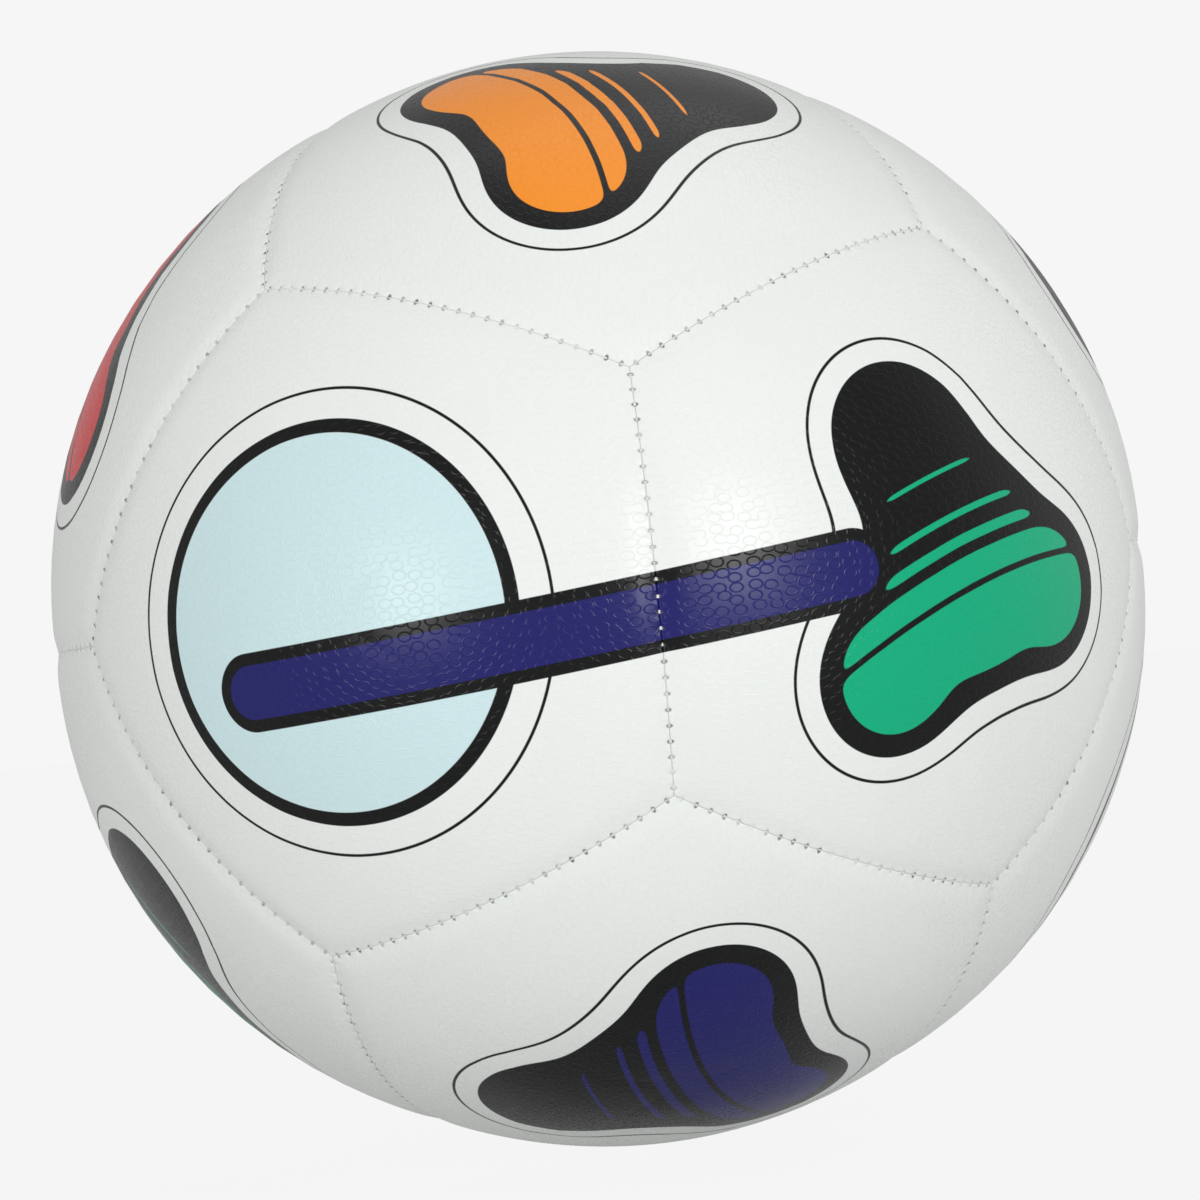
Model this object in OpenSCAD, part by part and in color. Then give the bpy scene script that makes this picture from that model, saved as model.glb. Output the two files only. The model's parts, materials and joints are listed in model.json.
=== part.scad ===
// Stitched twelve-panel ball: twelve five-sided panels in a dodecahedron layout,
// each a turned-in skin over foam over cloth, sewn round a rubber bladder with a needle valve.
// Millimetres. Origin at the ball's centre, +Z up. Each of the X, Y and Z axes passes
// through the middles of two opposite seams.

/* [Ball] */
// Diameter across the crowns of two opposite panels
ball_d = 220; // [190:1:224]
// How far a panel's centre of curvature is from the ball's centre, which puffs the panel up
puff = 7; // [4:0.5:7]
// Radius of the rounded shoulder along each panel's edge
shoulder_r = 1.8; // [1.2:0.1:1.8]

/* [Panel layers] */
// Thickness of the outer skin
skin_t = 0.8; // [0.6:0.1:1]
// Thickness of the foam under the skin
foam_t = 2.2; // [1.5:0.1:3]
// Thickness of the woven cloth backing
cloth_t = 1.2; // [0.8:0.1:1.6]
// Air between the ball's seam planes and each turned-in edge
seam_gap = 0.03; // [0.02:0.01:0.1]

/* [Sewing] */
// Thickness of the sewing thread
thread_d = 0.6; // [0.4:0.1:0.7]
// Stitches along each seam
stitches = 27; // [20:1:32]
// Air between a stitch and the two shoulders that it lies on
thread_air = 0.02; // [0.01:0.01:0.05]

/* [Bladder] */
// Thickness of the bladder's wall
bladder_t = 0.8; // [0.6:0.1:1.2]
// Diameter of the round patch that stiffens the bladder at the valve
patch_d = 30; // [24:1:40]
// Thickness of that patch, which also stays clear of the panel over it
patch_t = 1.5; // [1:0.1:1.6]

/* [Valve] */
// Diameter of the rubber sleeve that shows in the panel
sleeve_d = 8; // [7:0.5:9]
// Length of the sleeve
sleeve_len = 17; // [14:0.5:20]
// How far the sleeve's face lies below the panel's crown
sleeve_sunk = 0.4; // [0.2:0.1:0.8]
// Diameter of the plug in the sleeve
plug_d = 5; // [4:0.5:5.5]
// Diameter of the plug's head
plug_head_d = 6.4; // [6:0.2:6.8]
// Thickness of the plug's head
plug_head_t = 1.2; // [1:0.1:1.5]
// Radius of the hole that the inflating needle goes into
needle_r = 1; // [0.9:0.05:1.1]
// Depth of that hole, lead-in and all
needle_depth = 11; // [8:0.5:12]
// Width of the self-closing slit at the bottom of that hole
slit_w = 0.15; // [0.1:0.05:0.2]
// Length of the slit across the plug
slit_len = 2.4; // [2:0.2:3]

/* [Hidden] */
$fn = 96;
fit_air = 0.05;                          // clearance between neighbours that may not touch
over = 1;                                // how far a cutting shape runs past what it cuts
golden = (1 + sqrt(5)) / 2;
sides = 5;
crown_r = ball_d / 2 - puff;             // a panel's own radius of curvature
edge_tilt = atan(1 / golden);            // panel axis to the middle of a seam, seen from the centre
half_seam = asin(1 / (golden * sqrt(3))); // middle of a seam to its end, seen from the centre
foot = puff * cos(edge_tilt);            // the centre of curvature, dropped on a seam plane
rise = puff * sin(edge_tilt);            // and its height above that plane
laminate_t = skin_t + foam_t + cloth_t;
round_out = 0.97;                        // the shoulder's arc crosses the faces at a slight angle
arc_z = seam_gap + round_out * shoulder_r;
arc_x = sqrt(pow(crown_r - round_out * shoulder_r, 2) - pow(rise - arc_z, 2));
// The innermost point of the laminate is at a corner of the panel, and the bladder clears it
corner_tilt = acos(sqrt((5 + 2 * sqrt(5)) / 15));
inner_r = crown_r - laminate_t;
corner_in_r = puff * cos(corner_tilt) + sqrt(pow(inner_r, 2) - pow(puff * sin(corner_tilt), 2));
tuck_r = corner_in_r - fit_air;          // how far in the turned edges reach
bladder_r = tuck_r - fit_air;
patch_r = min(bladder_r + patch_t, puff + inner_r - fit_air);
sleeve_top = ball_d / 2 - sleeve_sunk;
sleeve_low = sleeve_top - sleeve_len;
lead_in = 0.8;                           // depth of the cone at the needle hole's mouth
reach = ball_d;

// Panels: where each one is on the ball, as a turn about the ball's diagonal and a half turn
HALF_TURNS = [[0, 0, 0], [180, 0, 0], [0, 180, 0], [0, 0, 180]];
PANELS = [
    ["front_left", 0, 0], ["rear_left", 0, 1], ["front_right", 0, 2], ["rear_right", 0, 3],
    ["bottom_front", 1, 0], ["top_front", 1, 1], ["bottom_rear", 1, 2], ["top_rear", 1, 3],
    ["left_lower", 2, 0], ["right_lower", 2, 1], ["left_upper", 2, 2], ["right_upper", 2, 3]
];
VALVE_PANEL = 3;
LAYERS = ["cover", "foam", "cloth"];
STITCHING = ["front_bowl_stitches", "rear_bowl_stitches", "joining_stitches", "closing_stitches"];
VALVE_PARTS = ["valve_patch", "valve_sleeve", "valve_plug"];

// Puts a thing made along +Z on the axis of panel number i
module on_panel(i) {
    rotate(a = 120 * PANELS[i][1], v = [1, 1, 1])
        rotate(HALF_TURNS[PANELS[i][2]])
            rotate([90, 0, -edge_tilt])
                children();
}

// Panel frame: +Z is the panel's axis. The seam frame of edge k has its origin at the ball's
// centre, +X through the middle of the seam and +Z square to the seam plane, into the panel
module on_edge(k) {
    rotate([0, 0, 360 / sides * k])
        rotate([0, edge_tilt - 90, 0])
            children();
}

// All that lies beyond a seam plane, less a margin
module beyond_seam(inset) {
    translate([-reach, -reach, seam_gap + inset - reach])
        cube([2 * reach, 2 * reach, reach]);
}

// A ring that takes the sharp corner off a panel's edge and leaves a round shoulder
module shoulder_ring(inset) {
    outward = [arc_x, arc_z - rise] / norm([arc_x, arc_z - rise]);
    past = shoulder_r + 2 * over;
    translate([foot, 0, 0])
        rotate_extrude()
            difference() {
                polygon([
                    [arc_x, arc_z],
                    [arc_x, -over],
                    [arc_x + past, -over],
                    [arc_x, arc_z] + past * outward
                ]);
                translate([arc_x, arc_z])
                    circle(r = shoulder_r - inset);
            }
}

// A sphere about the panel's centre of curvature
module crown(r) {
    translate([0, 0, puff])
        sphere(r);
}

// The panel's wedge of the ball under a given radius of curvature, from its five seam planes in
module wedge(r, inset) {
    difference() {
        crown(r);
        for (k = [0 : sides - 1])
            on_edge(k) beyond_seam(inset);
    }
}

// The same wedge under the skin's outer face or a face parallel to it, with round shoulders
module pillow(inset) {
    difference() {
        wedge(crown_r - inset, inset);
        for (k = [0 : sides - 1])
            on_edge(k) shoulder_ring(inset);
    }
}

module valve_hole(i) {
    if (i == VALVE_PANEL)
        translate([0, 0, inner_r])
            cylinder(d = sleeve_d + 2 * fit_air, h = reach);
}

// Outer skin of a panel, with its edges turned in along the seams
module cover(i) {
    color("white")
        on_panel(i)
            difference() {
                pillow(0);
                pillow(skin_t);
                sphere(tuck_r);
                valve_hole(i);
            }
}

module foam(i) {
    color("lightgray")
        on_panel(i)
            difference() {
                pillow(skin_t);
                crown(crown_r - skin_t - foam_t);
                valve_hole(i);
            }
}

module cloth(i) {
    color("ivory")
        on_panel(i)
            difference() {
                wedge(crown_r - skin_t - foam_t, skin_t);
                crown(inner_r);
                valve_hole(i);
            }
}

// The ball's twenty corners, where three seams meet, as directions from the centre
CORNERS = [for (v = concat(
    [for (x = [-1, 1], y = [-1, 1], z = [-1, 1]) [x, y, z]],
    [for (a = [-1, 1], b = [-1, 1]) [0, a * golden, b / golden]],
    [for (a = [-1, 1], b = [-1, 1]) [b / golden, 0, a * golden]],
    [for (a = [-1, 1], b = [-1, 1]) [a * golden, b / golden, 0]]
)) v / sqrt(3)];
// The thirty seams, each as the middle of the seam and the way that it runs. Corners that share
// a seam are 0.71 apart, and the next nearest are 1.15 apart
neighbour_gap = 0.8;
SEAMS = [
    for (i = [0 : 19], j = [i + 1 : 1 : 19])
        let (a = CORNERS[i], b = CORNERS[j], gap = norm(a - b))
            if (gap < neighbour_gap) [(a + b) / norm(a + b), (b - a) / gap]
];
// The ball is sewn as two bowls of six panels, then the bowls are joined round a zigzag of ten seams
BOWL_AXIS = [-1, -golden, 0] / norm([1, golden, 0]);
zigzag_reach = 0.3;                      // the zigzag swings less than this to either side
function side_of(seam) = seam[0] * BOWL_AXIS;
FRONT_BOWL = [for (s = SEAMS) if (side_of(s) > zigzag_reach) s];
REAR_BOWL = [for (s = SEAMS) if (side_of(s) < -zigzag_reach) s];
ZIGZAG = [for (s = SEAMS) if (abs(side_of(s)) < zigzag_reach) s];
CLOSING = 0; // the zigzag seam that is sewn last, by hand

// The stitches that show along one seam: short lengths of thread across the valley,
// each resting on the shoulders of the two panels
module seam_stitches(seam) {
    across = cross(seam[0], seam[1]);
    stitch_x = arc_x + shoulder_r - thread_d / 2;
    reach_x = shoulder_r - thread_d;
    half_len = arc_z - sqrt(shoulder_r * shoulder_r - reach_x * reach_x) - thread_air;
    corner_turn = half_seam + asin(foot * sin(half_seam) / stitch_x);
    pitch = 2 * corner_turn / stitches;
    multmatrix([
        [seam[0].x, seam[1].x, across.x, 0],
        [seam[0].y, seam[1].y, across.y, 0],
        [seam[0].z, seam[1].z, across.z, 0],
        [0, 0, 0, 1]
    ])
        translate([foot, 0, 0])
            for (k = [0 : stitches - 1])
                rotate([0, 0, (k - (stitches - 1) / 2) * pitch])
                    translate([stitch_x, 0, -half_len])
                        cylinder(d = thread_d, h = 2 * half_len);
}

module stitching(seams) {
    color("gainsboro")
        for (seam = seams)
            seam_stitches(seam);
}

module bladder() {
    color("dimgray")
        difference() {
            sphere(bladder_r);
            sphere(bladder_r - bladder_t);
            on_panel(VALVE_PANEL)
                cylinder(d = sleeve_d, h = reach);
        }
}

// Dished disc bonded to the bladder round the valve
module valve_patch() {
    color("black")
        on_panel(VALVE_PANEL)
            difference() {
                intersection() {
                    sphere(patch_r);
                    cylinder(d = patch_d, h = reach);
                }
                sphere(bladder_r);
                cylinder(d = sleeve_d, h = reach);
            }
}

// Rubber tube moulded to the bladder. It passes through the panel and holds the plug
module valve_sleeve() {
    color("black")
        on_panel(VALVE_PANEL)
            difference() {
                translate([0, 0, sleeve_low])
                    cylinder(d = sleeve_d, h = sleeve_len);
                translate([0, 0, sleeve_low - over])
                    cylinder(d = plug_d + 2 * fit_air, h = sleeve_len + 2 * over);
                translate([0, 0, sleeve_top - plug_head_t - fit_air])
                    cylinder(d = plug_head_d + 2 * fit_air, h = plug_head_t + over);
            }
}

// Mushroom plug with the needle's hole, shut at the bottom by a slit that air pressure closes
module valve_plug() {
    color("darkslategray")
        on_panel(VALVE_PANEL)
            difference() {
                union() {
                    translate([0, 0, sleeve_low])
                        cylinder(d = plug_d, h = sleeve_len - plug_head_t / 2);
                    translate([0, 0, sleeve_top - plug_head_t])
                        cylinder(d = plug_head_d, h = plug_head_t);
                }
                translate([0, 0, sleeve_top - needle_depth])
                    cylinder(r = needle_r, h = needle_depth + over);
                translate([0, 0, sleeve_top - lead_in])
                    cylinder(r1 = needle_r, r2 = needle_r + 2 * lead_in, h = 2 * lead_in);
                translate([-slit_len / 2, -slit_w / 2, sleeve_low - over])
                    cube([slit_len, slit_w, sleeve_len - needle_depth + 2 * over]);
            }
}

for (i = [0 : len(PANELS) - 1]) {
    cover(i);
    foam(i);
    cloth(i);
}
stitching(FRONT_BOWL);  // front_bowl_stitches
stitching(REAR_BOWL);  // rear_bowl_stitches
/* joining_stitches */ stitching([for (i = [0 : len(ZIGZAG) - 1]) if (i != CLOSING) ZIGZAG[i]]);
stitching([ZIGZAG[CLOSING]]);  // closing_stitches
bladder();
valve_patch();
valve_sleeve();
valve_plug();
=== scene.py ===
# %% [markdown]
# # A stitched ball of twelve panels
#
# The ball is a dodecahedron blown up round: twelve five-sided panels, thirty seams and twenty
# corners. The imported model already holds every layer at its place: skin, foam, cloth, bladder
# and valve. Blender's part is what the eye meets. That is the puffed skins with their rounded
# edges, the thread that pulls the seams in, the prints, and the finish of every layer.
#
# The imported model is loaded first. It is the fixed frame that all else is measured from, and its
# box is kept: the floor is laid at its lowest point.

# %% Load the imported model
import json
import math
import random

import bmesh
import bpy
from mathutils import Matrix, Vector

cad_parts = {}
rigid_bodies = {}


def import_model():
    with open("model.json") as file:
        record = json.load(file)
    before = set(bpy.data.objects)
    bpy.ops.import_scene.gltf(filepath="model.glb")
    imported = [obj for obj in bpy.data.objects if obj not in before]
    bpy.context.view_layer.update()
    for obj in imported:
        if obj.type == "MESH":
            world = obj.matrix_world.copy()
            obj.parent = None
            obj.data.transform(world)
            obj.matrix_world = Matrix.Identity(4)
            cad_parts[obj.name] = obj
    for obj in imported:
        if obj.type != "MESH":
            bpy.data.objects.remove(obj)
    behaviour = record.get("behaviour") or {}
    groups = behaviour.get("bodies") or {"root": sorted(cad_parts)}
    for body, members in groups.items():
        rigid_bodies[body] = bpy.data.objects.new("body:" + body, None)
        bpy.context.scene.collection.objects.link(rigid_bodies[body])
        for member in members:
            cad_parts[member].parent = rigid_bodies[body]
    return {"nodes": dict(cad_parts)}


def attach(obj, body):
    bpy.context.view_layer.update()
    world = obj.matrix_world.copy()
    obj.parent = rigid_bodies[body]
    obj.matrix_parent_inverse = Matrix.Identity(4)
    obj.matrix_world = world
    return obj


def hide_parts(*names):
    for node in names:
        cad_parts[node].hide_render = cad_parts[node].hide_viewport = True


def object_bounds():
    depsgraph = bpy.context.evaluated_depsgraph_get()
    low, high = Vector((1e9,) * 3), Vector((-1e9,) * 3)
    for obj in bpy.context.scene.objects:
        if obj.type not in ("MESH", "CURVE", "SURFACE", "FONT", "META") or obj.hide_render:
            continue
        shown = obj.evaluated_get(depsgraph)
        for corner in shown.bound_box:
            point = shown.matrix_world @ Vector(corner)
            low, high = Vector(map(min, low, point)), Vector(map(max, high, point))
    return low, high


bpy.ops.object.select_all(action="SELECT")
bpy.ops.object.delete()
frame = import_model()
cad_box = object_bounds()


def work_on(piece):
    """Selects one piece alone, for the operators that follow."""
    bpy.ops.object.select_all(action="DESELECT")
    piece.select_set(True)
    bpy.context.view_layer.objects.active = piece


bpy.ops.object.select_all(action="DESELECT")
print("the packed model spans", [round(high - low, 4) for low, high in zip(*cad_box)])

# %% [markdown]
# ## Where the panels are
#
# A panel is easiest to model lying at the top of the ball, with its axis along +Z and the middle
# of one edge towards +X. One turn then takes it to its place. The twelve places are a third of a
# turn about the ball's diagonal, up to twice, after a half turn about X, Y or Z.
#
# Two numbers give the panel's shape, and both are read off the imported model: the ball's radius
# at a panel's crown, and how far the panel's own centre of curvature lies off the ball's centre.

# %% Panel places and driving sizes
MM = 0.001
GOLDEN = (1 + math.sqrt(5)) / 2
EDGE_TILT = math.atan(1 / GOLDEN)  # from a panel's axis to the middle of its edge
SIDES = 5
SECTOR = math.tau / SIDES

HALF_TURNS = {
    "none": Matrix.Identity(4),
    "X": Matrix.Rotation(math.pi, 4, "X"),
    "Y": Matrix.Rotation(math.pi, 4, "Y"),
    "Z": Matrix.Rotation(math.pi, 4, "Z"),
}
PANELS = {
    "front_left": (0, "none"),
    "rear_left": (0, "X"),
    "front_right": (0, "Y"),
    "rear_right": (0, "Z"),
    "bottom_front": (1, "none"),
    "top_front": (1, "X"),
    "bottom_rear": (1, "Y"),
    "top_rear": (1, "Z"),
    "left_lower": (2, "none"),
    "right_lower": (2, "X"),
    "left_upper": (2, "Y"),
    "right_upper": (2, "Z"),
}
VALVE_PANEL = "rear_right"


def place_of(panel):
    thirds, half_turn = PANELS[panel]
    third = Matrix.Rotation(thirds * math.tau / 3, 4, Vector((1, 1, 1)))
    upright = Matrix.Rotation(-EDGE_TILT, 4, "Z") @ Matrix.Rotation(math.pi / 2, 4, "X")
    return third @ HALF_TURNS[half_turn] @ upright


def axis_of(panel):
    return place_of(panel) @ Vector((0, 0, 1))


cover = frame["nodes"]["front_left_cover"].data
crown = max(v.co.length for v in cover.vertices)
# The outer face is a sphere about the puff point. Each of its points gives the same reading of
# how far off that point is, and every point that lies deeper gives a larger one. Close to the
# crown the reading is too rough to use
TOO_CLOSE = math.radians(10)
readings = []
for v in cover.vertices:
    height = v.co.dot(axis_of("front_left"))
    if height < crown * math.cos(TOO_CLOSE):
        readings.append((crown**2 - v.co.length**2) / (2 * (crown - height)))
puff = min(readings)
print(f"crown radius {crown / MM:.2f} mm, centre of curvature {puff / MM:.2f} mm off the middle")

# %% [markdown]
# ## Camera
#
# The ball is seen from a little left of its front and a little below its middle, through a long
# lens, with the camera leaning over by six degrees. A long lens from eight ball radii away keeps
# the outline nearly a true circle.

# %% Camera
AZIMUTH, ELEVATION, LEAN = -5.56, -1.29, -5.95
CAMERA_DISTANCE = 8.05 * crown

camera_turn = (
    Matrix.Rotation(math.radians(AZIMUTH), 4, "Z")
    @ Matrix.Rotation(math.radians(90 - ELEVATION), 4, "X")
    @ Matrix.Rotation(math.radians(LEAN), 4, "Z")
)
bpy.ops.object.camera_add()
camera = bpy.context.object
camera.matrix_world = camera_turn @ Matrix.Translation((0, 0, CAMERA_DISTANCE))
camera.data.lens = 132.06
camera.data.shift_x = 0.0012
camera.data.shift_y = -0.0005
camera.data.clip_start = 0.01
bpy.context.scene.camera = camera
print("camera at", [round(c, 3) for c in camera.matrix_world.translation])

# %% [markdown]
# ## Node maths
#
# Every finish below is worked out by nodes. Written out link by link they are hard to read, so
# one small class wraps a node's output. Python's own operators then add the Math nodes, and
# `node` adds any other kind: its settings first, then the values or links of its sockets.


# %% A wire that can be calculated with
class Wire:
    def __init__(self, tree, socket=None):
        self.tree = tree
        self.socket = socket

    def node(self, kind, settings=None, inputs=None, output=0):
        made = self.tree.nodes.new("ShaderNode" + kind)
        for name, value in (settings or {}).items():
            setattr(made, name, value)
        for key, value in (inputs or {}).items():
            if isinstance(value, Wire):
                self.tree.links.new(value.socket, made.inputs[key])
            else:
                made.inputs[key].default_value = value
        return Wire(self.tree, made.outputs[output])

    def math(self, operation, *values):
        return self.node("Math", {"operation": operation}, dict(enumerate((self, *values))))

    def __add__(self, other):
        return self.math("ADD", other)

    __radd__ = __add__

    def __sub__(self, other):
        return self.math("SUBTRACT", other)

    def __rsub__(self, other):
        return self.node("Math", {"operation": "SUBTRACT"}, {0: other, 1: self})

    def __mul__(self, other):
        return self.math("MULTIPLY", other)

    def __truediv__(self, other):
        return self.math("DIVIDE", other)

    def __abs__(self):
        return self.math("ABSOLUTE")

    def least(self, other):
        return self.math("MINIMUM", other)

    def most(self, other):
        return self.math("MAXIMUM", other)

    def inside(self, softness):
        """1 where a distance is below nought, 0 above it, and a soft step between."""
        return self.node("Clamp", {}, {"Value": 0.5 - self / softness})

    def mix(self, low, high):
        """The colour low where this wire is 0, and high where it is 1."""
        sockets = {0: self, 6: low, 7: high}
        return self.node("Mix", {"data_type": "RGBA"}, sockets, output=2)

    def noise(self, scale, detail=2.0):
        sockets = {"Vector": self, "Scale": scale, "Detail": detail}
        return self.node("TexNoise", {}, sockets)

    def offset(self, x, y):
        """Length of a plane vector, seen from the point x, y."""
        moved = self.node("VectorMath", {"operation": "SUBTRACT"}, {0: self, 1: (x, y, 0)})
        return moved.node("VectorMath", {"operation": "LENGTH"}, {0: moved}, output=1)


def srgb(red, green, blue):
    """A colour as a paint chart gives it, 0 to 255, as the light that Blender reckons in."""

    def linear(value):
        value /= 255
        return value / 12.92 if value <= 0.04045 else ((value + 0.055) / 1.055) ** 2.4

    return (linear(red), linear(green), linear(blue), 1)


def new_material(name):
    """A material with its Principled shader, and a wire to start from."""
    material = bpy.data.materials.new(name)
    material.use_nodes = True
    shader = material.node_tree.nodes["Principled BSDF"]
    return material, shader, Wire(material.node_tree)


def feed(shader, **sockets):
    """Sets or links the shader's sockets, named with _ for a blank."""
    for name, value in sockets.items():
        socket = shader.inputs[name.replace("_", " ")]
        if isinstance(value, Wire):
            value.tree.links.new(value.socket, socket)
        else:
            socket.default_value = value


def bump(height, depth, over=None):
    """Raises the surface by depth metres where height is 1, on top of an earlier bump if any."""
    inputs = {"Height": height, "Distance": depth, "Strength": 1.0}
    if over is not None:
        inputs["Normal"] = over
    return height.node("Bump", {}, inputs)


print("node maths ready")

# %% [markdown]
# ## Studio
#
# A white ball on a white ground is lit mostly by pale walls all round. Two small soft boxes, one
# on each side of the camera and hardly above it, draw the seams and the embossing. Two weak ones,
# at the far right and overhead, keep the right side and the top from greying.
#
# The floor and the walls are brighter to the camera than to the ball, so that the ground melts
# into the backdrop and keeps only a soft touch of shade where the ball rests.

# %% Floor, backdrop and lights
BACKDROP = srgb(246, 246, 246)
bpy.context.scene.view_settings.view_transform = "Standard"

bpy.ops.mesh.primitive_circle_add(
    vertices=96, radius=40, fill_type="NGON", location=(0, 0, cad_box[0].z)
)
floor = bpy.context.object
floor.name = "floor"
floor_material, floor_shader, wire = new_material("floor")
FLOOR_GLOW, FLOOR_LIGHT, FLOOR_BOUNCE, FLOOR_SEEN = 0.97, 0.22, 0.5, 0.03
seen = wire.node("LightPath")
feed(
    floor_shader,
    Base_Color=seen.mix((FLOOR_BOUNCE,) * 3 + (1,), (FLOOR_SEEN,) * 3 + (1,)),
    Roughness=1.0,
    Specular_IOR_Level=0.0,
    Emission_Color=BACKDROP,
    Emission_Strength=seen * (FLOOR_GLOW - FLOOR_LIGHT) + FLOOR_LIGHT,
)
floor.data.materials.append(floor_material)

world = bpy.data.worlds.new("backdrop")
bpy.context.scene.world = world
world.use_nodes = True
WALL_LIGHT = 0.56
wire = Wire(world.node_tree)
seen = wire.node("LightPath")
glow = seen * (1 - WALL_LIGHT) + WALL_LIGHT
background = world.node_tree.nodes["Background"]
background.inputs["Color"].default_value = BACKDROP
world.node_tree.links.new(glow.socket, background.inputs["Strength"])


def soft_box(name, azimuth, elevation, distance, size, power):
    """A rectangular lamp that faces the ball, placed by its angles from the camera's side."""
    turn = (
        Matrix.Rotation(math.radians(AZIMUTH + azimuth), 4, "Z")
        @ Matrix.Rotation(math.radians(90 - elevation), 4, "X")
    )
    bpy.ops.object.light_add(type="AREA")
    lamp = bpy.context.object
    lamp.name = name
    lamp.matrix_world = turn @ Matrix.Translation((0, 0, distance))
    lamp.data.shape = "RECTANGLE"
    lamp.data.size = size[0]
    lamp.data.size_y = size[1]
    lamp.data.energy = power


soft_box("key", 25, 6, 1.6, (0.44, 0.62), 8.6)
soft_box("left window", -36, 4, 2.0, (0.55, 0.55), 8.3)
soft_box("right side", 105, 15, 1.6, (1.2, 1.6), 1.5)
soft_box("top", 120, 75, 1.6, (1.2, 1.2), 3.0)
print("studio set, floor at", round(cad_box[0].z, 4))

# %% [markdown]
# ## The panel's outline, ring by ring
#
# A stitched panel is cut as a flat pentagon, so it starts as one. Its sides are cut fine enough
# to show the pucker at every stitch. Extruding the outline again and again and shrinking it
# towards the middle gives rings that follow the seams: close together over the rounded edge,
# wide apart in the middle. Past the edge two points in three are dissolved, since nothing small
# happens there.
#
# The pentagon lies in the plane that touches the crown. Seen from the ball's centre, a straight
# side there is a great circle, which is just what a seam is.

# %% Flat rings
SAME_PLACE = 0.01 * MM  # points closer than this count as one
STITCHES = 27  # along one seam
POINTS_PER_STITCH = 6
KEPT_EVERY = 3  # one point in this many goes on past the rounded edge and the pucker
SIDE_CUTS = STITCHES * POINTS_PER_STITCH
SEAM_GAP = 0.006 * MM  # from the seam plane to the panel's turned edge
SHOULDER = 0.32 * MM  # radius of the rounded edge
SHOULDER_ANGLES = (15, 30, 45, 60, 75, 90)  # rings over the rounded edge
FINE_RINGS = (0.55, 0.85, 1.2, 1.7, 2.4, 3.2, 4.2, 5.6, 7.5)  # distances from the seam, in mm
WIDE_RINGS = (10, 14, 19, 25, 32, 39, 46, 52)
VALVE_HOLE = 4.25 * MM

side_middle = crown * math.tan(EDGE_TILT)
corner_reach = side_middle / math.cos(SECTOR / 2)


def shrink_for(distance):
    """How much smaller the pentagon is whose sides lie this far from the seams."""
    return math.tan(EDGE_TILT - math.asin(distance / crown)) / math.tan(EDGE_TILT)


def ring_inwards(scale):
    """Extrudes the selected outline in its plane and shrinks it towards the middle."""
    bpy.ops.mesh.extrude_edges_move()
    bpy.ops.transform.resize(value=(scale, scale, 1), center_override=(0, 0, crown))


def side_distance(point):
    """How far out a point of the flat pentagon is, measured square to its nearest side."""
    turns = [Vector((math.cos(k * SECTOR), math.sin(k * SECTOR))) for k in range(SIDES)]
    return max(point.xy.dot(out) for out in turns)


def on_ring(v, reach):
    return abs(side_distance(v.co) - reach) < SAME_PLACE


def thin_out(mesh, reach):
    """Dissolves the points of the innermost ring that don't go on."""
    for v in mesh.verts:
        if on_ring(v, reach):
            angle = math.atan2(v.co.y, v.co.x) % SECTOR
            across = math.tan(angle if angle < SECTOR / 2 else angle - SECTOR)
            along = (across / math.tan(SECTOR / 2) + 1) / 2 * SIDE_CUTS
            v.select = round(along) % KEPT_EVERY != 0
        else:
            v.select = False
    mesh.select_flush_mode()
    bpy.ops.mesh.dissolve_verts()


def select_ring(mesh, reach):
    for v in mesh.verts:
        v.select = on_ring(v, reach)
    mesh.select_flush_mode()


def flat_panel(with_hole):
    bpy.ops.mesh.primitive_circle_add(
        vertices=SIDES, radius=corner_reach, location=(0, 0, crown), rotation=(0, 0, SECTOR / 4)
    )
    panel = bpy.context.object
    bpy.ops.object.transform_apply(location=True, rotation=True)
    bpy.ops.object.mode_set(mode="EDIT")
    bpy.ops.mesh.subdivide(number_cuts=STITCHES * 2 - 1)
    bpy.ops.mesh.subdivide(number_cuts=POINTS_PER_STITCH // 2 - 1)
    scale = shrink_for(SEAM_GAP)
    bpy.ops.transform.resize(value=(scale, scale, 1), center_override=(0, 0, crown))
    shoulder_rings = [
        SEAM_GAP + SHOULDER * (1 - math.cos(math.radians(angle))) for angle in SHOULDER_ANGLES
    ]
    for distance in shoulder_rings + [ring * MM for ring in FINE_RINGS]:
        ring_inwards(shrink_for(distance) / scale)
        scale = shrink_for(distance)
    mesh = bmesh.from_edit_mesh(panel.data)
    thin_out(mesh, side_middle * scale)
    select_ring(mesh, side_middle * scale)
    for distance in WIDE_RINGS:
        ring_inwards(shrink_for(distance * MM) / scale)
        scale = shrink_for(distance * MM)
    if with_hole:
        ring_inwards(VALVE_HOLE / (side_middle * scale))
    else:
        bpy.ops.mesh.extrude_edges_move()
        bpy.ops.mesh.merge(type="CENTER")
    bpy.ops.mesh.select_all(action="SELECT")
    bpy.ops.mesh.normals_make_consistent(inside=False)
    bpy.ops.object.mode_set(mode="OBJECT")
    bpy.ops.object.select_all(action="DESELECT")
    return panel


plain_shape = flat_panel(with_hole=False)
valve_shape = flat_panel(with_hole=True)
print("plain panel", len(plain_shape.data.polygons), "faces before it is puffed")

# %% [markdown]
# ## Puffing the panel
#
# Air pressure bends the flat cut into a shallow dome, and the thread pulls its rim down. A Cast
# modifier wraps the flat rings on to the ball's own sphere. A second Cast pulls every point
# towards a smaller sphere, and a vertex group says how far each one goes. The group holds four
# things added up: the dome's own fall towards the seams, the rounded edge, a shallow sag along
# the seam where the foam gives, and a pucker at every stitch.
#
# At a corner two seams are near at once. Their distances are blended, so that the rounded edges
# run into each other without a crease.

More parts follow.
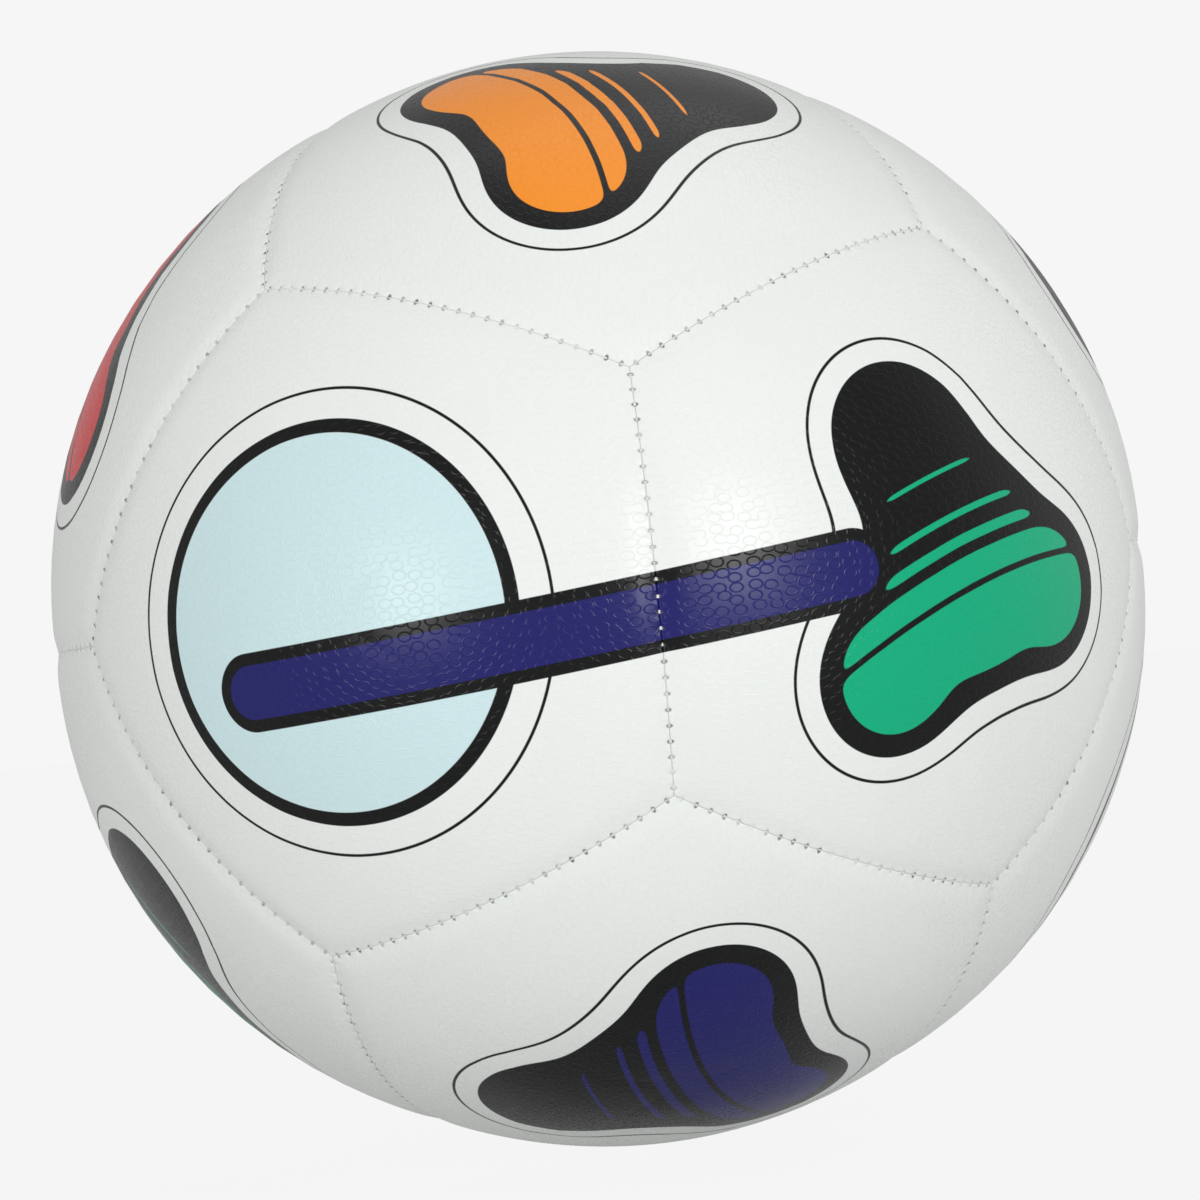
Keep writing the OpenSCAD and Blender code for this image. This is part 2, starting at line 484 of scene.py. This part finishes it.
# %% How deep each point lies
SAG, SAG_WIDTH = 0.5, 2.6  # mm, along the seams
PUCKER, PUCKER_LONG, PUCKER_WIDE = 0.3, 0.45, 0.75  # mm: depth, then along and across the seam
DEEPEST = 4.2  # mm, deeper than any point of the outer face goes
TURNED_IN = 2.4 * MM  # how far the turned edge reaches inwards
SKIN = 0.3 * MM
MOUTH_DIP, MOUTH_DIP_WIDE = 0.35, 1.2  # mm, where the skin is cut round the valve
MOUTH_SEARCH = 0.1 * MM  # how far past the hole's corners its rim is looked for
CORNER_BLEND = 4  # the higher, the less the seams blend into each other at a corner

seam_radius = puff * math.cos(EDGE_TILT) + math.sqrt(
    (crown - puff) ** 2 - (puff * math.sin(EDGE_TILT)) ** 2
)
seam_foot = puff * math.cos(EDGE_TILT)
half_seam = math.asin(1 / (GOLDEN * math.sqrt(3)))  # half a seam, seen from the ball's centre
half_seam_turn = half_seam + math.asin(seam_foot * math.sin(half_seam) / seam_radius)
stitch_pitch = 2 * half_seam_turn / STITCHES  # an angle about the seam's own centre


def seam_readings(point):
    """Distances of a panel's point from its five seam planes, in mm, and how many stitches it
    is from the middle of the nearest seam."""
    distances = []
    for k in range(SIDES):
        out = Vector((math.cos(k * SECTOR), math.sin(k * SECTOR), 0))
        inward = Vector((0, 0, math.sin(EDGE_TILT))) - out * math.cos(EDGE_TILT)
        distances.append((inward.dot(point) / MM, out, inward))
    _, out, inward = min(distances, key=lambda reading: reading[0])
    middle = (out * math.sin(EDGE_TILT) + Vector((0, 0, math.cos(EDGE_TILT)))).normalized()
    along = point.dot(middle.cross(inward))
    stitches_off = abs(math.atan2(along, point.dot(middle) - seam_foot)) / stitch_pitch
    closeness = sum(max(reading[0], SAME_PLACE / MM) ** -CORNER_BLEND for reading in distances)
    blended = closeness ** (-1 / CORNER_BLEND)
    return blended, stitches_off


def depth_at(point, distance, stitches_off):
    """How far a point of the panel lies under the sphere through the crowns, in mm."""
    tilt = point.angle(Vector((0, 0, 1)))
    dome = puff * math.cos(tilt) + math.sqrt(
        (crown - puff) ** 2 - (puff * math.sin(tilt)) ** 2
    )
    shoulder = SHOULDER / MM
    short = min(max(shoulder + SEAM_GAP / MM - distance, 0), shoulder)
    rounded = shoulder - math.sqrt(shoulder**2 - short**2)
    sag = SAG * math.exp(-((distance / SAG_WIDTH) ** 2))
    past_stitch = (stitches_off - round(stitches_off)) * stitch_pitch * seam_radius / MM
    stitch_distance = math.hypot(past_stitch / PUCKER_LONG, distance / PUCKER_WIDE)
    pucker = PUCKER * math.exp(-(stitch_distance**2))
    return (crown - dome) / MM + rounded + sag + pucker


def cast(panel, kind, size, group=""):
    wrap = panel.modifiers.new("wrap", "CAST")
    wrap.cast_type = kind
    wrap.factor = 1
    wrap.size = size
    wrap.use_radius_as_size = False
    wrap.vertex_group = group
    wrap.use_x = wrap.use_y = True
    wrap.use_z = kind == "SPHERE"
    bpy.ops.object.modifier_apply(modifier=wrap.name)


def mouth_depth(point):
    """How far the skin dips round the valve, in mm."""
    past = max(point.xy.length - VALVE_HOLE, 0) / MM
    return MOUTH_DIP * math.exp(-((past / MOUTH_DIP_WIDE) ** 2))


def puffed(panel, name):
    panel.name = panel.data.name = name
    work_on(panel)
    mouth = panel.vertex_groups.new(name="valve mouth")
    mouth_reach = VALVE_HOLE / math.cos(SECTOR / 2) + MOUTH_SEARCH
    rim = [v.index for v in panel.data.vertices if SAME_PLACE < v.co.xy.length < mouth_reach]
    mouth.add(rim, 1, "REPLACE")
    if rim:
        cast(panel, "CYLINDER", VALVE_HOLE, mouth.name)
    cast(panel, "SPHERE", crown)
    depth = panel.vertex_groups.new(name="depth")
    readings = [seam_readings(v.co) for v in panel.data.vertices]
    for v, (distance, stitches_off) in zip(panel.data.vertices, readings):
        lies = depth_at(v.co, distance, stitches_off) + mouth_depth(v.co)
        depth.add([v.index], lies / DEEPEST, "REPLACE")
    cast(panel, "SPHERE", crown - DEEPEST * MM, depth.name)
    for reading, values in zip(("seam distance", "stitches off"), zip(*readings)):
        panel.data.attributes.new(reading, "FLOAT", "POINT").data.foreach_set("value", values)
    return panel


plain_shape = puffed(plain_shape, "plain_panel")
valve_shape = puffed(valve_shape, "valve_panel")
print(f"seams lie {(crown - seam_radius) / MM:.2f} mm under the crowns")

# %% [markdown]
# ## Turned edges, thickness and a map for the print
#
# The free outline is extruded and pulled towards the ball's centre. That runs it down the seam
# plane, as the real edge is turned in to be sewn to its neighbour. Solidify gives the skin its
# thickness. The print needs to know where it is on the panel, so the panel carries a map in
# which one unit is 200 mm of skin, measured from the middle of the panel along the surface.

# %% Finish one panel
MAP_SPAN = 200  # mm of skin across the whole map


def map_place(point):
    """Where a point is on the map: its way and its distance along the skin from the middle."""
    flat = point.xy
    distance = point.angle(Vector((0, 0, 1))) * crown / MM
    if flat.length < SAME_PLACE:
        return (0.5, 0.5)
    return flat.normalized() * distance / MAP_SPAN + Vector((0.5, 0.5))


def finished(panel):
    work_on(panel)
    bpy.ops.object.mode_set(mode="EDIT")
    mesh = bmesh.from_edit_mesh(panel.data)
    for edge in mesh.edges:
        edge.select = edge.is_boundary
    mesh.select_flush_mode()
    for v in mesh.verts:
        v.select = any(edge.select for edge in v.link_edges)
    mesh.select_flush_mode()
    bpy.ops.mesh.extrude_edges_move()
    shrink = 1 - TURNED_IN / seam_radius
    bpy.ops.transform.resize(value=(shrink, shrink, shrink), center_override=(0, 0, 0))
    bpy.ops.mesh.select_all(action="SELECT")
    bpy.ops.mesh.normals_make_consistent(inside=False)
    bpy.ops.object.mode_set(mode="OBJECT")
    print_map = panel.data.uv_layers.new(name="print")
    for loop in panel.data.loops:
        print_map.uv[loop.index].vector = map_place(panel.data.vertices[loop.vertex_index].co)
    wall = panel.modifiers.new("skin", "SOLIDIFY")
    wall.thickness = SKIN
    wall.offset = -1
    bpy.ops.object.modifier_apply(modifier=wall.name)
    bpy.ops.object.shade_smooth_by_angle(angle=math.radians(50))
    bpy.ops.object.select_all(action="DESELECT")
    return panel


plain_shape = finished(plain_shape)
valve_shape = finished(valve_shape)
print("a finished panel has", len(plain_shape.data.polygons), "faces")

# %% [markdown]
# ## Twelve panels
#
# Each place on the ball gets its own copy of the panel. The turn goes into the copy's mesh, so
# that its object stays at the origin. Each copy rides with the ball and stands for the plain
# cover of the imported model.

# %% Copies at their places


def copied(shape, name, place):
    piece = shape.copy()
    piece.data = shape.data.copy()
    piece.name = piece.data.name = name
    piece.data.transform(place)
    bpy.context.collection.objects.link(piece)
    return piece


panels = {}
for panel in PANELS:
    shape = valve_shape if panel == VALVE_PANEL else plain_shape
    panels[panel] = copied(shape, panel + "_skin", place_of(panel))
    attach(panels[panel], "root")
    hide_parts(panel + "_cover")
for shape in (plain_shape, valve_shape):
    bpy.data.objects.remove(shape)
print(len(panels), "panels placed")

# %% [markdown]
# ## Thread
#
# What shows of the thread is a short white loop at every stitch, where it comes out of one
# rounded edge and dives into the other. One stitch is two strands side by side. A strand is a
# small disc spun through half a turn, and that is all the shape that something repeated eight
# hundred times should have. Each copy is then nudged, turned and sunk a little, because no two
# stitches are pulled quite alike.

# %% One stitch
STRAND = 0.19 * MM  # radius of a strand
ARCH = 0.32 * MM  # radius of the loop that its middle follows
STRAND_STEP = 0.32 * MM  # from one strand to the next, along the seam
LOOP_SUNK = 0.6 * MM  # top of the loop, under the seam line of the domes

bpy.ops.mesh.primitive_circle_add(
    vertices=6,
    radius=STRAND,
    fill_type="NGON",
    location=(0, -STRAND_STEP / 2, -ARCH),
    rotation=(0, math.pi / 2, 0),
)
stitch = bpy.context.object
bpy.ops.object.transform_apply(location=True, rotation=True)
bpy.ops.object.mode_set(mode="EDIT")
bpy.ops.mesh.select_all(action="SELECT")
bpy.ops.mesh.spin(steps=4, angle=math.pi, center=(0, 0, 0), axis=(0, 1, 0))
bpy.ops.mesh.select_all(action="SELECT")
bpy.ops.mesh.duplicate_move(TRANSFORM_OT_translate={"value": (0, STRAND_STEP, 0)})
bpy.ops.mesh.select_all(action="SELECT")
bpy.ops.mesh.remove_doubles(threshold=0.001 * MM)
bpy.ops.mesh.normals_make_consistent(inside=False)
bpy.ops.object.mode_set(mode="OBJECT")
if max(v.co.x for v in stitch.data.vertices) < ARCH / 2:  # spun to the other side
    stitch.data.transform(Matrix.Rotation(math.pi, 4, "Y"))
bpy.ops.object.shade_smooth()
bpy.ops.object.select_all(action="DESELECT")
print("a stitch has", len(stitch.data.polygons), "faces")

# %% [markdown]
# The ball is sewn as two bowls of six panels. The bowls are then joined round a zigzag of ten
# seams, the last of them by hand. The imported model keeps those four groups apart, so each seam's
# stitches join the group whose thread lies nearest to the seam's middle.

# %% Stitches along every seam
NEIGHBOUR_TILT = 2.1 * EDGE_TILT  # just more than the angle between two panels that touch
STITCH_NUDGE = 0.05  # along the seam, in stitches
STITCH_PULL = (-0.09, 0.05)  # mm, inwards and outwards
STITCH_TURN = 0.2  # radians, about the way outwards
THREAD_NODES = (
    "front_bowl_stitches",
    "rear_bowl_stitches",
    "joining_stitches",
    "closing_stitches",
)


def seams():
    """The middle of each of the thirty seams and the way that it runs."""
    axes = [axis_of(panel) for panel in PANELS]
    for i, one in enumerate(axes):
        for other in axes[i + 1 :]:
            if one.angle(other) < NEIGHBOUR_TILT:
                yield (one + other).normalized(), one.cross(other).normalized()


def thread_node_at(point):
    def gap(node):
        vertices = frame["nodes"][node].data.vertices
        return min((v.co - point).length_squared for v in vertices)

    return min(THREAD_NODES, key=gap)


hand = random.Random(5)
loop_reach = seam_radius - seam_foot - LOOP_SUNK - STRAND - ARCH
loops = {node: [] for node in THREAD_NODES}
for middle, along in seams():
    node = thread_node_at(middle * seam_radius)
    across = middle.cross(along)
    seam_frame = Matrix((middle, along, across)).transposed().to_4x4()
    for k in range(STITCHES):
        nudge = hand.uniform(-STITCH_NUDGE, STITCH_NUDGE)
        turn = (k - (STITCHES - 1) / 2 + nudge) * stitch_pitch
        reach = loop_reach + hand.uniform(*STITCH_PULL) * MM
        place = (
            seam_frame
            @ Matrix.Translation((seam_foot, 0, 0))
            @ Matrix.Rotation(turn, 4, "Z")
            @ Matrix.Translation((reach, 0, 0))
            @ Matrix.Rotation(hand.uniform(-STITCH_TURN, STITCH_TURN), 4, "X")
        )
        loops[node].append(copied(stitch, "loop", place))
bpy.data.objects.remove(stitch)

threads = {}
for node, group in loops.items():
    for loop in group:
        loop.select_set(True)
    bpy.context.view_layer.objects.active = group[0]
    bpy.ops.object.join()
    threads[node] = bpy.context.object
    threads[node].name = threads[node].data.name = node.replace("stitches", "thread")
    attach(threads[node], "root")
    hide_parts(node)
    bpy.ops.object.select_all(action="DESELECT")
    print(threads[node].name, len(group), "stitches")

# %% [markdown]
# ## Printed skin
#
# The skin is white, with black, hairline and coloured inks printed on it before the panels are
# cut. A print is a field of distances: each shape says how far a point is outside its outline,
# the least of two distances joins two shapes, and the greatest cuts one with the other. A soft
# step at nought turns the field into a mask. That keeps every edge sharp at any magnification.
#
# All distances are in millimetres of skin, on the panel's own map. Sheets are printed first and
# cut afterwards, so no print sits quite in the middle of its panel, and a few are turned.

# %% Colours and the skin's own shapes
WHITE = srgb(240, 243, 240)
BLACK = srgb(5, 6, 6)
GREEN = srgb(0, 176, 128)
ORANGE = srgb(250, 148, 30)
RED = srgb(214, 36, 42)
INDIGO = srgb(28, 28, 104)
PALE_BLUE = srgb(208, 233, 236)
EDGE_SOFTNESS = 0.16  # mm, the slight spread of the ink
HAIRLINE = 0.3  # mm, half the width of the printed fine line
PRINT_OFFSETS = {  # mm across the panel, and degrees
    "front_left": (-1.5, -1.5, 0),
    "front_right": (0.4, 0, 0),
    "top_front": (-1.9, -3.4, -1.5),
    "bottom_front": (0, -1.6, 0),
    "left_lower": (-2.2, -3.9, 6),
    "left_upper": (0.4, -0.9, 1.6),
    "right_lower": (5, -5, 0),
    "rear_left": (1.5, -0.5, 71),
    "top_rear": (-0.5, 1.5, 145),
    "bottom_rear": (0.5, 1, 215),
}


def polar(reach, degrees):
    return reach * math.cos(math.radians(degrees)), reach * math.sin(math.radians(degrees))


def print_position(wire, panel):
    """Where the point is on the print, as a plane vector in mm from the print's middle."""
    place = wire.node("UVMap", {"uv_map": "print"})
    x, y, turn = PRINT_OFFSETS.get(panel, (0, 0, 0))
    settings = {"vector_type": "TEXTURE"}
    inputs = {
        "Vector": place,
        "Location": (0.5 + x / MAP_SPAN, 0.5 + y / MAP_SPAN, 0),
        "Rotation": (0, 0, math.radians(turn)),
        "Scale": (1 / MAP_SPAN, 1 / MAP_SPAN, 1),
    }
    return wire.node("Mapping", settings, inputs)


def smooth_least(one, other, blend):
    return one.math("SMOOTH_MIN", other, blend)


def smooth_most(one, other, blend):
    return one.math("SMOOTH_MAX", other, blend)


# %% [markdown]
# ### The three-lobed print
#
# Nine of the twelve panels carry the same rounded black shape: a core with three lobes, melted
# together. A hairline follows it outside. Inside, one large coloured field and a few thinner
# coloured stripes are cut by arcs that share one far-off centre, as if the colour had been
# dragged across.

# %% Three-lobed print
CORE = (-2.4, 3.4, 23.3)  # x, y and radius
LOBES = ((38, -69, 16), (42, 53.5, 15.8), (41, 161.5, 14.8))  # reach, direction and radius
LOBE_BLEND = 15.9
OUTLINE_GAP = 4.7  # from the black shape to the hairline round it
BLACK_RIM = 4.4  # black left round the coloured field
ARC_CENTRE = polar(118, 108)
ARC_RADIUS = 118
FIELD_END = -7.6  # the coloured field stops at this distance past the arc through the middle
STRIPES = ((-6.4, -1.4), (0.7, 2.6), (5.8, 7.0), (14.3, 15.1))
STRIPE_ROUNDING = 3


def three_lobes(place):
    shape = place.offset(*CORE[:2]) - CORE[2]
    for reach, way, radius in LOBES:
        lobe = place.offset(*polar(reach - radius, way)) - radius
        shape = smooth_least(shape, lobe, LOBE_BLEND)
    return shape


def dragged_stripes(place):
    past_arc = place.offset(*ARC_CENTRE) - ARC_RADIUS
    stripes = past_arc - FIELD_END
    for start, end in STRIPES:
        stripe = abs(past_arc - (start + end) / 2) - (end - start) / 2
        stripes = stripes.least(stripe)
    return stripes


def lobed_print(place, ground, ink):
    lobes = three_lobes(place)
    coloured = smooth_most(lobes + BLACK_RIM, dragged_stripes(place), STRIPE_ROUNDING)
    hairline = abs(lobes - OUTLINE_GAP) - HAIRLINE
    black = lobes.least(hairline).inside(EDGE_SOFTNESS)
    return coloured.inside(EDGE_SOFTNESS).mix(black.mix(ground, BLACK), ink)


# %% [markdown]
# ### The ring print and the band
#
# The other three panels carry a disc in a black ring, with a hairline round it. Two of the discs
# are pale blue and one is left white. At the front a round-ended band in blue, edged in black,
# runs from one disc across the seam to the print on the next panel. It has to meet itself at the
# seam, so it isn't drawn on the panels' maps. It is the set of points near one great circle of
# the ball, between two ends, reckoned from the object's own coordinates, which both panels share.

# %% Ring print and band
RING_RADIUS, RING_INNER, RING_HAIRLINE = 37.7, 35.0, 43.7
PLAIN_DISC = "right_lower"
BAND_START = ("front_left", -19, -12.5)
BAND_END = ("front_right", 24, 1.5)
BAND_HALF, BAND_CORE_HALF = 7.3, 5.0


def ring_print(place, ground, fill):
    reach = place.offset(0, 0)
    disc = (reach - RING_INNER).inside(EDGE_SOFTNESS)
    ring = abs(reach - (RING_RADIUS + RING_INNER) / 2) - (RING_RADIUS - RING_INNER) / 2
    hairline = abs(reach - RING_HAIRLINE) - HAIRLINE
    black = ring.least(hairline).inside(EDGE_SOFTNESS)
    return black.mix(disc.mix(ground, fill), BLACK)


def on_ball(panel, x, y):
    """The direction, from the ball's centre, of a point given in mm on a panel's map."""
    way = Vector((x, y, 0))
    tilt = way.length * MM / crown
    point = way.normalized() * math.sin(tilt) + Vector((0, 0, math.cos(tilt)))
    return place_of(panel) @ point


def band_distance(wire):
    """Distance in mm from the middle line of the band."""
    start, end = on_ball(*BAND_START), on_ball(*BAND_END)
    middle = (start + end).normalized()
    pole = start.cross(end).normalized()
    along = pole.cross(middle)
    half_length = start.angle(end) / 2 * crown / MM
    spot = wire.node("TexCoord", output=3)
    way = wire.node("VectorMath", {"operation": "NORMALIZE"}, {0: spot})

    def seen_along(direction):
        sockets = {0: way, 1: tuple(direction)}
        return wire.node("VectorMath", {"operation": "DOT_PRODUCT"}, sockets, output=1)

    aside = seen_along(pole).math("ARCSINE") * (crown / MM)
    travelled = seen_along(along).math("ARCTAN2", seen_along(middle)) * (crown / MM)
    past_end = (abs(travelled) - half_length).most(0)
    return (aside * aside + past_end * past_end).math("SQRT")


def banded(wire, ground):
    distance = band_distance(wire)
    edged = (distance - BAND_HALF).inside(EDGE_SOFTNESS).mix(ground, BLACK)
    return (distance - BAND_CORE_HALF).inside(EDGE_SOFTNESS).mix(edged, INDIGO)


# %% [markdown]
# ### Which panel carries what
#
# The panels in view carry green, orange, indigo and red. The others repeat those four. A panel
# that isn't in the table gets the ring print.

# %% Prints of the twelve panels
INKS = {
    "front_right": GREEN,
    "top_front": ORANGE,
    "bottom_front": INDIGO,
    "left_upper": RED,
    "left_lower": GREEN,
    "right_upper": INDIGO,
    "rear_left": ORANGE,
    "top_rear": GREEN,
    "bottom_rear": RED,
}


def printed(panel, wire, place, ground):
    """The panel's own print, laid on the ground colour."""
    if panel in INKS:
        motif = lobed_print(place, ground, INKS[panel])
    else:
        fill = ground if panel == PLAIN_DISC else PALE_BLUE
        motif = ring_print(place, ground, fill)
    return banded(wire, motif) if panel in (BAND_START[0], BAND_END[0]) else motif


# %% [markdown]
# ### Grain of the skin
#
# The whole skin is embossed with small oval loops that touch and interlock, a few hundredths of
# a millimetre high. On white they hardly show; on dark ink they catch the light. A Voronoi
# pattern gives every loop its own middle, and the loop is where the distance from that middle
# has one set value. The panel's map keeps the loops the same size all over.
#
# The skin is also a little uneven where the foam gives. Shade is painted into its colour: a
# slight grey down in the seams, and a small dark mark at every needle hole where the thread goes
# in, strong at some stitches and faint at others.

# %% Skin material
LOOP_LONG, LOOP_WIDE = 3.0, 2.1  # mm
LOOP_REACH, LOOP_LINE = 0.4, 0.07  # radius and half the width of the raised line, in loops
GRAIN_HEIGHT = 0.036 * MM
UNEVEN_HEIGHT = 0.3 * MM
# Painted shade: a small grey mark at every needle hole, where the thread goes in. The same grey is
# painted as shade down the seams.
STITCH_SHADE_LONG, STITCH_SHADE_WIDE = 0.4, 0.64  # mm, half its size along and across the seam
STITCH_SHADE_SOFTNESS = 0.5  # of its half size
STITCH_SHADE_DARKEST = 0.9
SHADE_GREY = srgb(84, 88, 86)
# Painted shade down the crack between two panels.
SEAM_SHADE_WIDE, SEAM_SHADE_SOFTNESS = 0.05, 0.1  # mm from the seam
SEAM_SHADE_DARKEST = 0.1


def loops_height(place):
    sockets = {0: place, 1: (1 / LOOP_LONG, 1 / LOOP_WIDE, 0)}
    cells = place.node("VectorMath", {"operation": "MULTIPLY"}, sockets)
    settings = {"voronoi_dimensions": "2D", "feature": "F1"}
    inputs = {"Vector": cells, "Scale": 1.0, "Randomness": 0.5}
    distance = place.node("TexVoronoi", settings, inputs)
    line = 1 - abs(distance - LOOP_REACH) / LOOP_LINE
    return line.most(0)


def skin_material(panel):
    """White embossed skin with the panel's print."""
    material, shader, wire = new_material(panel + "_skin")
    place = print_position(wire, panel)
    spot = wire.node("TexCoord", output=3)
    seam = wire.node("Attribute", {"attribute_name": "seam distance"}, output=2)
    stitches_off = wire.node("Attribute", {"attribute_name": "stitches off"}, output=2)
    mottle = spot.noise(38, 3)
    ground = mottle.mix(srgb(236, 240, 236), WHITE)
    inked = printed(panel, wire, place, ground)
    # Painted shade at every needle hole, stronger at some stitches than at others.
    past_stitch = (stitches_off + 0.5).math("FRACT") - 0.5
    past_stitch = past_stitch * (stitch_pitch * seam_radius / MM / STITCH_SHADE_LONG)
    aside = seam / STITCH_SHADE_WIDE
    stitch_shade = (past_stitch * past_stitch + aside * aside).math("SQRT") - 1
    stitch_shade_strength = (spot.noise(160) * 3.2 - 1.0).least(1).most(0.1)
    stitch_shade = stitch_shade.inside(STITCH_SHADE_SOFTNESS) * stitch_shade_strength * STITCH_SHADE_DARKEST
    # Painted shade down the seam's crack, mixed with the stitches' painted shade into the print's
    # colour.
    seam_shade = (seam - SEAM_SHADE_WIDE).inside(SEAM_SHADE_SOFTNESS) * SEAM_SHADE_DARKEST
    inked_and_shaded = seam_shade.most(stitch_shade).mix(inked, SHADE_GREY)
    uneven = bump(spot.noise(26, 1) + spot.noise(70, 1) * 0.3, UNEVEN_HEIGHT)
    grain = loops_height(place)
    relief = bump(grain, GRAIN_HEIGHT, over=uneven)
    roughness = 0.25 + grain * 0.05 + mottle * 0.05
    feed(shader, Base_Color=inked_and_shaded, Roughness=roughness, Normal=relief, IOR=1.35)
    return material


# %% Paint the panels
for panel, piece in panels.items():
    piece.data.materials.clear()
    piece.data.materials.append(skin_material(panel))
print("painted", ", ".join(panels))

# %% [markdown]
# ## Thread, foam, cloth and rubber
#
# The thread is waxed polyester: white, a little glossy, and twisted. Under the skin come closed
# foam with its cells, a plain woven cloth, and the bladder's butyl rubber with the faint lines of
# its mould. The valve is the same rubber, smoother. These CAD pieces have the right shape, so
# they keep it and only get their finish.

# %% Thread material
thread_material, shader, wire = new_material("thread")
spot = wire.node("TexCoord", output=3)
twist = spot.node("TexWave", {"bands_direction": "DIAGONAL"}, {"Vector": spot, "Scale": 1500.0})
fleck = spot.noise(900)
feed(
    shader,
    Base_Color=fleck.mix(srgb(214, 217, 214), srgb(250, 250, 247)),
    Roughness=0.42 + twist * 0.15,
    Normal=bump(twist, 0.03 * MM),
)
for piece in threads.values():
    piece.data.materials.clear()
    piece.data.materials.append(thread_material)
print("thread finished")

# %% Layers under the skin


def foam_finish():
    material, shader, wire = new_material("closed_foam")
    spot = wire.node("TexCoord", output=3)
    cells = spot.node("TexVoronoi", {"feature": "F1"}, {"Vector": spot, "Scale": 1400.0})
    tone = spot.noise(60, 4)
    feed(
        shader,
        Base_Color=tone.mix(srgb(222, 222, 214), srgb(244, 244, 238)),
        Roughness=0.75 + cells * 0.2,
        Normal=bump(cells, 0.15 * MM),
    )
    return material


def cloth_finish():
    """Plain weave. Threads cross over and under in two directions."""
    material, shader, wire = new_material("backing_cloth")
    spot = wire.node("TexCoord", output=3)

    def strands(direction):
        return spot.node(
            "TexWave", {"bands_direction": direction}, {"Vector": spot, "Scale": 420.0}
        )

    weave = strands("X") * strands("Z") + strands("Y") * 0.4
    fleck = spot.noise(400, 4)
    feed(
        shader,
        Base_Color=(weave * 0.6 + fleck * 0.4).mix(srgb(184, 176, 156), srgb(228, 222, 206)),
        Roughness=0.85 + fleck * 0.1,
        Normal=bump(weave, 0.2 * MM),
    )
    return material


def rubber_finish(name, dark, light, sheen_roughness, graininess):
    material, shader, wire = new_material(name)
    spot = wire.node("TexCoord", output=3)
    bloom = spot.noise(45, 5)
    grain = spot.noise(graininess, 3)
    feed(
        shader,
        Base_Color=bloom.mix(dark, light),
        Roughness=sheen_roughness + bloom * 0.2,
        Normal=bump(grain, 0.08 * MM),
    )
    return material


foam, cloth = foam_finish(), cloth_finish()
bladder_rubber = rubber_finish("bladder_rubber", srgb(30, 30, 31), srgb(58, 57, 56), 0.45, 700)
valve_rubber = rubber_finish("valve_rubber", srgb(20, 20, 21), srgb(40, 40, 40), 0.38, 1600)
finishes = {panel + "_foam": foam for panel in PANELS}
finishes.update({panel + "_cloth": cloth for panel in PANELS})
finishes.update({"bladder": bladder_rubber, "valve_patch": bladder_rubber})
finishes.update({"valve_sleeve": valve_rubber, "valve_plug": valve_rubber})
for node, material in finishes.items():
    for slot in frame["nodes"][node].material_slots:
        slot.material = material
print(len(finishes), "inner pieces finished")
